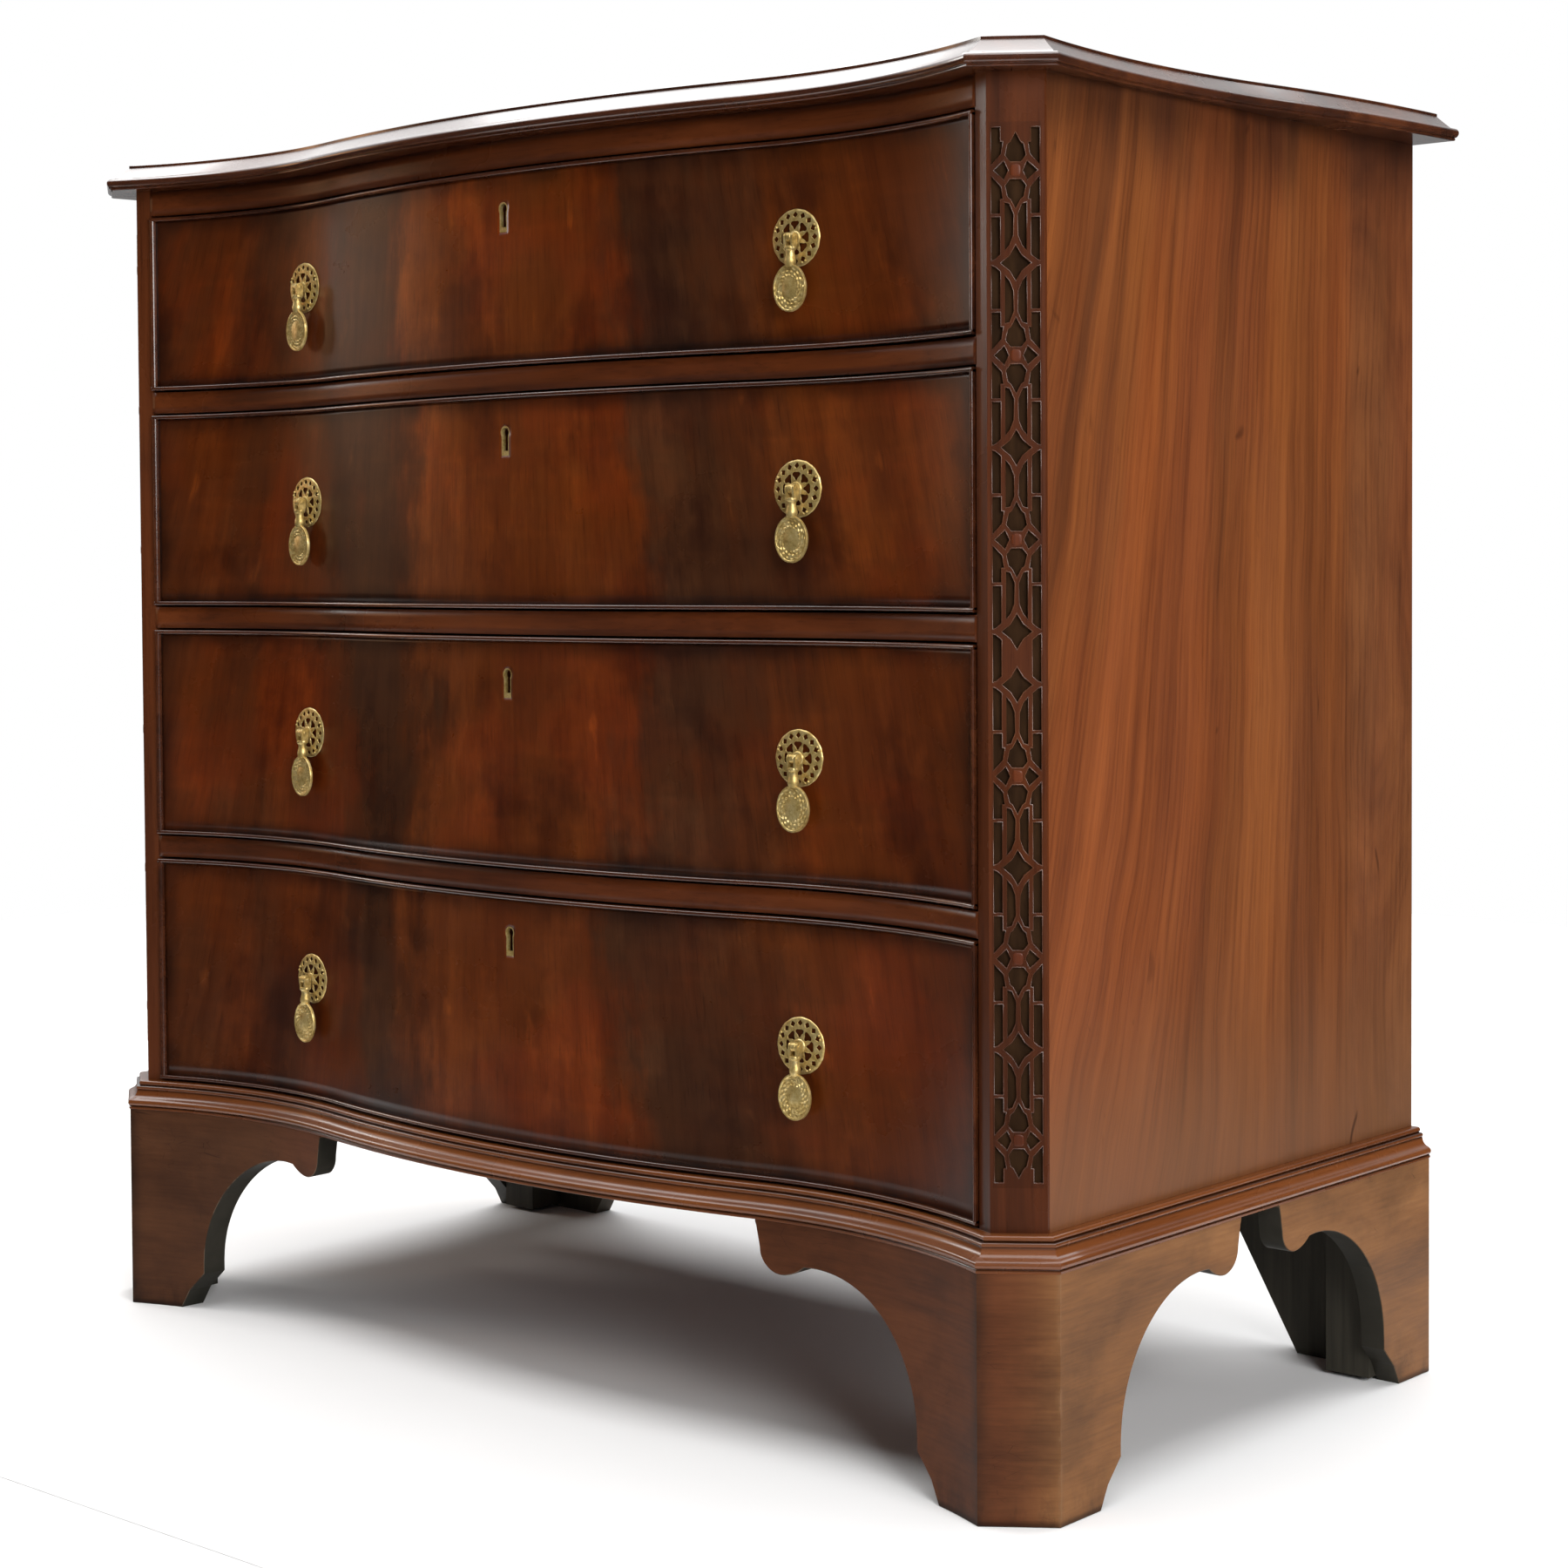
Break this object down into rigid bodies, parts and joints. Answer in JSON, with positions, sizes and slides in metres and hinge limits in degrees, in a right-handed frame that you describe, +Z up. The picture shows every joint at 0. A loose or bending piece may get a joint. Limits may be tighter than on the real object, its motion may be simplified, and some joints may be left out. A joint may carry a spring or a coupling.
{
  "type": "serpentine secretaire chest",
  "caption": "Mahogany chest of drawers with a serpentine front, fretted canted corners and bracket feet; its top drawer draws out and its front falls to a writing desk with pigeonholes.",
  "frame": {"origin": "middle of the floor rectangle the chest covers, at floor level", "axes": "+X to the right along the front, +Y towards the back, +Z up; the drawers open towards -Y"},
  "size_m": [0.948, 0.4794, 0.88],
  "materials": {
    "carcass_mahogany": "waxed and polished mahogany",
    "flame_mahogany": "polished flame-figured mahogany veneer",
    "bead_mahogany": "polished mahogany beading",
    "fret_mahogany": "polished mahogany fret",
    "oak_lining": "unfinished oak and pine, mellowed with age",
    "gallery_mahogany": "satin mahogany",
    "brass": "worn gilt brass",
    "lock_steel": "filed steel",
    "writing_leather": "dark green hide"
  },
  "bodies": {
    "carcass": {"back_boards": "oak_lining", "base_moulding": "carcass_mahogany", "bottom_board": "carcass_mahogany", "drawer_rails": "carcass_mahogany", "drawer_runners": "oak_lining", "dustboards": "oak_lining", "left_blind_fret": "fret_mahogany", "left_corner_post": "carcass_mahogany", "left_front_foot": "carcass_mahogany", "left_rear_foot": "carcass_mahogany", "left_side": "carcass_mahogany", "right_blind_fret": "fret_mahogany", "right_corner_post": "carcass_mahogany", "right_front_foot": "carcass_mahogany", "right_rear_foot": "carcass_mahogany", "right_side": "carcass_mahogany", "top_board": "carcass_mahogany", "top_rail": "carcass_mahogany"},
    "secretaire_drawer": {"secretaire_box": "oak_lining", "floor_leather": "writing_leather", "fall_hinge_leaves": "brass", "pigeonholes": "gallery_mahogany"},
    "fall": {"secretaire_fall": "flame_mahogany", "fall_leather": "writing_leather", "secretaire_cock_beads": "bead_mahogany", "secretaire_lock": "brass", "secretaire_pull_plates": "brass", "fall_hinge_straps": "brass", "quadrant_stays": "brass"},
    "left_inner_drawer": {"left_inner_drawer": "gallery_mahogany"},
    "right_inner_drawer": {"right_inner_drawer": "gallery_mahogany"},
    "second_drawer": {"second_drawer_front": "flame_mahogany", "second_cock_beads": "bead_mahogany", "second_drawer_box": "oak_lining", "second_lock": "brass", "second_pull_plates": "brass"},
    "third_drawer": {"third_drawer_front": "flame_mahogany", "third_cock_beads": "bead_mahogany", "third_drawer_box": "oak_lining", "third_lock": "brass", "third_pull_plates": "brass"},
    "fourth_drawer": {"fourth_drawer_front": "flame_mahogany", "fourth_cock_beads": "bead_mahogany", "fourth_drawer_box": "oak_lining", "fourth_lock": "brass", "fourth_pull_plates": "brass"},
    "secretaire_bolt": {"secretaire_bolt": "lock_steel"},
    "secretaire_right_drop": {"secretaire_right_drop": "brass"},
    "secretaire_left_drop": {"secretaire_left_drop": "brass"},
    "second_bolt": {"second_bolt": "lock_steel"},
    "second_right_drop": {"second_right_drop": "brass"},
    "second_left_drop": {"second_left_drop": "brass"},
    "third_bolt": {"third_bolt": "lock_steel"},
    "third_right_drop": {"third_right_drop": "brass"},
    "third_left_drop": {"third_left_drop": "brass"},
    "fourth_bolt": {"fourth_bolt": "lock_steel"},
    "fourth_right_drop": {"fourth_right_drop": "brass"},
    "fourth_left_drop": {"fourth_left_drop": "brass"}
  },
  "joints": [
    {"name": "secretaire_slide", "type": "slide", "parent": "carcass", "child": "secretaire_drawer", "axis": [0, -1, 0], "range_m": [0, 0.3]},
    {"name": "fall_hinge", "type": "hinge", "parent": "secretaire_drawer", "child": "fall", "pos_m": [0, -0.17205, 0.7201], "axis": [1, 0, 0], "range_deg": [0, 90]},
    {"name": "left_inner_drawer_slide", "type": "slide", "parent": "secretaire_drawer", "child": "left_inner_drawer", "axis": [0, -1, 0], "range_m": [0, 0.12]},
    {"name": "right_inner_drawer_slide", "type": "slide", "parent": "secretaire_drawer", "child": "right_inner_drawer", "axis": [0, -1, 0], "range_m": [0, 0.12]},
    {"name": "second_drawer_slide", "type": "slide", "parent": "carcass", "child": "second_drawer", "axis": [0, -1, 0], "range_m": [0, 0.235]},
    {"name": "third_drawer_slide", "type": "slide", "parent": "carcass", "child": "third_drawer", "axis": [0, -1, 0], "range_m": [0, 0.235]},
    {"name": "fourth_drawer_slide", "type": "slide", "parent": "carcass", "child": "fourth_drawer", "axis": [0, -1, 0], "range_m": [0, 0.235]},
    {"name": "secretaire_bolt_throw", "type": "slide", "parent": "fall", "child": "secretaire_bolt", "axis": [0, 0, 1], "range_m": [0, 0.01]},
    {"name": "secretaire_right_drop_swing", "type": "hinge", "parent": "fall", "child": "secretaire_right_drop", "pos_m": [0.24174, -0.19626, 0.77735], "axis": [-0.9953, -0.0969, 0], "range_deg": [0, 80]},
    {"name": "secretaire_left_drop_swing", "type": "hinge", "parent": "fall", "child": "secretaire_left_drop", "pos_m": [-0.24174, -0.19626, 0.77735], "axis": [-0.9953, 0.0969, 0], "range_deg": [0, 80]},
    {"name": "second_bolt_throw", "type": "slide", "parent": "second_drawer", "child": "second_bolt", "axis": [0, 0, 1], "range_m": [0, 0.01]},
    {"name": "second_right_drop_swing", "type": "hinge", "parent": "second_drawer", "child": "second_right_drop", "pos_m": [0.24174, -0.19626, 0.6189], "axis": [-0.9953, -0.0969, 0], "range_deg": [0, 80]},
    {"name": "second_left_drop_swing", "type": "hinge", "parent": "second_drawer", "child": "second_left_drop", "pos_m": [-0.24174, -0.19626, 0.6189], "axis": [-0.9953, 0.0969, 0], "range_deg": [0, 80]},
    {"name": "third_bolt_throw", "type": "slide", "parent": "third_drawer", "child": "third_bolt", "axis": [0, 0, 1], "range_m": [0, 0.01]},
    {"name": "third_right_drop_swing", "type": "hinge", "parent": "third_drawer", "child": "third_right_drop", "pos_m": [0.24174, -0.19626, 0.4477], "axis": [-0.9953, -0.0969, 0], "range_deg": [0, 80]},
    {"name": "third_left_drop_swing", "type": "hinge", "parent": "third_drawer", "child": "third_left_drop", "pos_m": [-0.24174, -0.19626, 0.4477], "axis": [-0.9953, 0.0969, 0], "range_deg": [0, 80]},
    {"name": "fourth_bolt_throw", "type": "slide", "parent": "fourth_drawer", "child": "fourth_bolt", "axis": [0, 0, 1], "range_m": [0, 0.01]},
    {"name": "fourth_right_drop_swing", "type": "hinge", "parent": "fourth_drawer", "child": "fourth_right_drop", "pos_m": [0.24174, -0.19626, 0.26375], "axis": [-0.9953, -0.0969, 0], "range_deg": [0, 80]},
    {"name": "fourth_left_drop_swing", "type": "hinge", "parent": "fourth_drawer", "child": "fourth_left_drop", "pos_m": [-0.24174, -0.19626, 0.26375], "axis": [-0.9953, 0.0969, 0], "range_deg": [0, 80]}
  ],
  "couplings": [
    {"joint": "fall_hinge", "follows": "secretaire_slide", "rad_per_m": 5.236}
  ]
}
